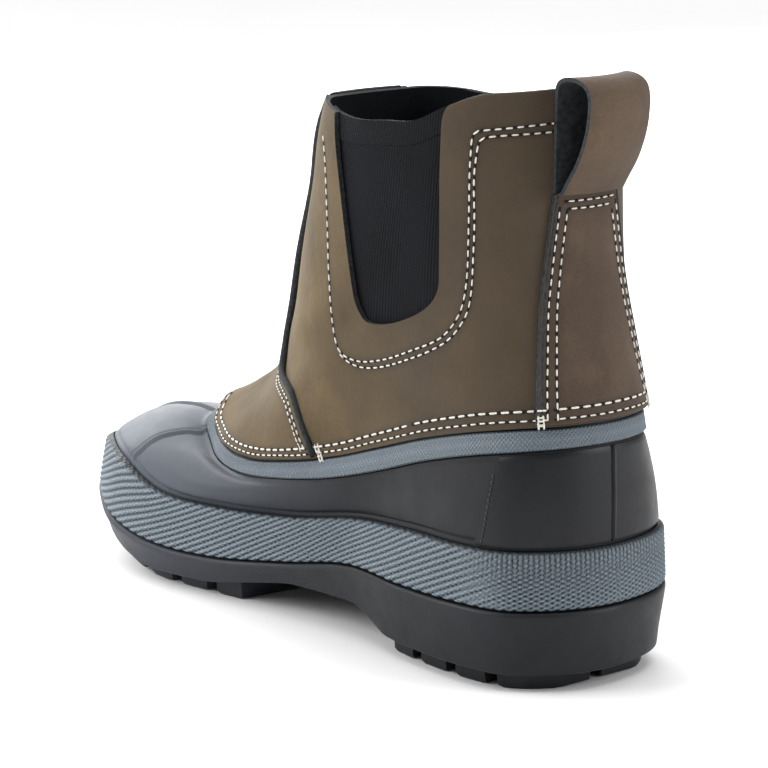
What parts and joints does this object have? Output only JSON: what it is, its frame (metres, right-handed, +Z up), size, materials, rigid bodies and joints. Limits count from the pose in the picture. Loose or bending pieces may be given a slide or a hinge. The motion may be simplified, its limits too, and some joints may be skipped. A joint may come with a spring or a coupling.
{
  "type": "duck boot",
  "caption": "Pull-on duck boot for a right foot: lugged rubber sole and shell, ribbed band, leather shaft with side gores and a heel pull loop.",
  "frame": {"origin": "on the floor under the middle of the boot's box: the tread stands at z = 0", "axes": "+Z up, +Y towards the heel, -Y towards the toe, +X towards the medial side of the right foot"},
  "size_m": [0.1081, 0.308, 0.2335],
  "materials": {
    "outsole_rubber": "matt black moulded rubber",
    "band_rubber": "slate blue-grey ribbed rubber",
    "shell_rubber": "satin black rubber",
    "brown_leather": "brushed brown nubuck with white stitching",
    "black_elastic": "black woven elastic",
    "insole_fabric": "dark felt over foam"
  },
  "bodies": {
    "root": {"outsole": "outsole_rubber", "foxing_band": "band_rubber", "rubber_shell": "shell_rubber", "heel_counter": "shell_rubber", "rim_strip": "band_rubber", "leather_upper": "brown_leather", "vamp_overlay": "brown_leather", "back_stay": "brown_leather", "pull_loop": "brown_leather", "gore_medial": "black_elastic", "gore_lateral": "black_elastic", "insole": "insole_fabric"}
  },
  "joints": []
}
